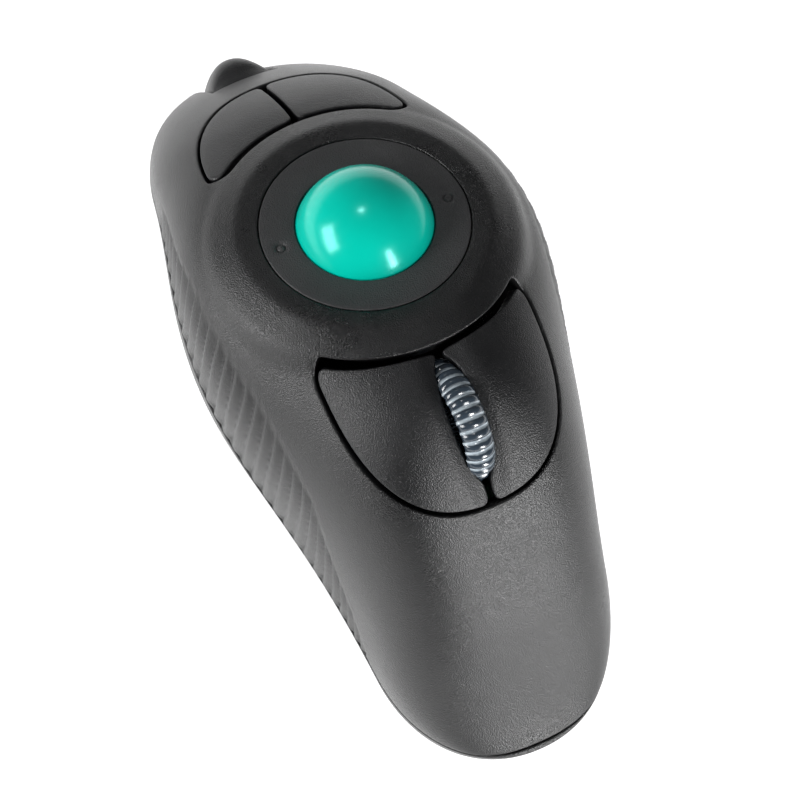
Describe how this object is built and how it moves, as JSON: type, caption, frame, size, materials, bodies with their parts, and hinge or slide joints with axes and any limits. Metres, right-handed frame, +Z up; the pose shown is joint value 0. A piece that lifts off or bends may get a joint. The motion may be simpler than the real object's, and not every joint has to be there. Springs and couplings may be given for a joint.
{
  "type": "handheld trackball mouse",
  "caption": "Handheld cordless pointing device with a thumb trackball in a bayonet ring, thumb keys, a ribbed scroll wheel, a finger trigger and a tapering arched grip.",
  "frame": {"origin": "on the surface it rests on, below the middle of the outline", "axes": "+Y towards the nose, +Z up from the surface, +X to the user's right; the part is mirror-symmetric about X = 0"},
  "size_m": [0.067, 0.1434, 0.0666],
  "materials": {
    "shell": "black moulded ABS with a fine spark-eroded grain and a satin sheen",
    "key": "black moulded ABS, the same grain as the shell, polished a little by use",
    "ring": "charcoal moulded plastic with a dead-flat fine grain",
    "ball": "polished teal-green phenolic resin",
    "clear_plastic": "clear blue-grey polycarbonate",
    "inner_moulding": "black glass-filled nylon",
    "steel": "nickel-plated steel",
    "circuit_board": "green solder mask on glass-epoxy board",
    "chip": "black epoxy moulding compound",
    "battery_jacket": "plain shrink sleeve on a steel can",
    "foot": "self-adhesive black rubber pad"
  },
  "bodies": {
    "housing": {"upper_shell": "shell", "lower_shell": "shell", "ball_cup": "inner_moulding", "support_ball_1": "steel", "support_ball_2": "steel", "support_ball_3": "steel", "cup_screw_1": "steel", "cup_screw_2": "steel", "cup_screw_3": "steel", "sensor_lens": "clear_plastic", "optical_sensor": "chip", "sensor_led": "clear_plastic", "sensor_board": "circuit_board", "front_left_switch": "chip", "front_right_switch": "chip", "front_board": "circuit_board", "rear_left_switch": "chip", "rear_right_switch": "chip", "rear_board": "circuit_board", "wheel_encoder": "chip", "wheel_click_switch": "chip", "trigger_pin": "steel", "trigger_spring": "steel", "trigger_switch": "chip", "trigger_board": "circuit_board", "main_board": "circuit_board", "radio_chip": "chip", "power_switch_body": "steel", "battery_left": "battery_jacket", "battery_right": "battery_jacket", "battery_contact_front": "steel", "battery_contact_rear": "steel", "foot_front_left": "foot", "foot_front_right": "foot", "foot_rear": "foot", "shell_screw_1": "steel", "shell_screw_2": "steel", "shell_screw_3": "steel", "shell_screw_4": "steel"},
    "ring": {"retaining_ring": "ring"},
    "ball": {"trackball": "ball"},
    "front_left_key": {"front_left_button": "key"},
    "front_right_key": {"front_right_button": "key"},
    "rear_left_key": {"rear_left_button": "key"},
    "rear_right_key": {"rear_right_button": "key"},
    "carriage": {"wheel_carriage": "inner_moulding"},
    "wheel": {"scroll_wheel": "clear_plastic", "wheel_axle": "inner_moulding"},
    "trigger": {"trigger": "key"},
    "door": {"battery_door": "shell"},
    "power_knob": {"power_switch_knob": "inner_moulding"},
    "receiver": {"usb_receiver": "inner_moulding"}
  },
  "joints": [
    {"name": "ball_roll", "type": "hinge", "parent": "housing", "child": "ball", "pos_m": [0, 0.01988, 0.0531], "axis": [1, 0, 0], "continuous": true},
    {"name": "ring_twist", "type": "hinge", "parent": "housing", "child": "ring", "pos_m": [0, 0.0213, 0.057], "axis": [0, 0.342, 0.9397], "range_deg": [0, 30]},
    {"name": "front_left_press", "type": "hinge", "parent": "housing", "child": "front_left_key", "pos_m": [0, 0.0466, 0.0436], "axis": [-1, 0, 0], "range_deg": [0, 2.2], "stiffness_Nm_per_rad": 0.25, "springref_deg": -2.86},
    {"name": "front_right_press", "type": "hinge", "parent": "housing", "child": "front_right_key", "pos_m": [0, 0.0466, 0.0436], "axis": [-1, 0, 0], "range_deg": [0, 2.2], "stiffness_Nm_per_rad": 0.25, "springref_deg": -2.86},
    {"name": "rear_left_press", "type": "hinge", "parent": "housing", "child": "rear_left_key", "pos_m": [0, -0.0315, 0.053], "axis": [-1, 0, 0], "range_deg": [0, 1.5], "stiffness_Nm_per_rad": 0.4, "springref_deg": -2.86},
    {"name": "rear_right_press", "type": "hinge", "parent": "housing", "child": "rear_right_key", "pos_m": [0, -0.0315, 0.053], "axis": [-1, 0, 0], "range_deg": [0, 1.5], "stiffness_Nm_per_rad": 0.4, "springref_deg": -2.86},
    {"name": "wheel_click", "type": "slide", "parent": "housing", "child": "carriage", "axis": [0, 0.2193, -0.9756], "range_m": [0, 0.0006], "stiffness_N_per_m": 600, "springref_m": -0.0008},
    {"name": "wheel_spin", "type": "hinge", "parent": "carriage", "child": "wheel", "pos_m": [0, -0.01685, 0.0553], "axis": [1, 0, 0], "continuous": true},
    {"name": "trigger_pull", "type": "hinge", "parent": "housing", "child": "trigger", "pos_m": [0, 0.0593, 0.021], "axis": [-1, 0, 0], "range_deg": [0, 5], "stiffness_Nm_per_rad": 0.25, "springref_deg": -5.73},
    {"name": "door_open", "type": "hinge", "parent": "housing", "child": "door", "pos_m": [0, -0.0072, 0.0084], "axis": [1, 0, 0], "range_deg": [0, 75]},
    {"name": "power_slide", "type": "slide", "parent": "housing", "child": "power_knob", "axis": [1, 0, 0], "range_m": [0, 0.0046]},
    {"name": "receiver_pull", "type": "slide", "parent": "housing", "child": "receiver", "axis": [0, 0, -1], "range_m": [0, 0.0186]}
  ]
}
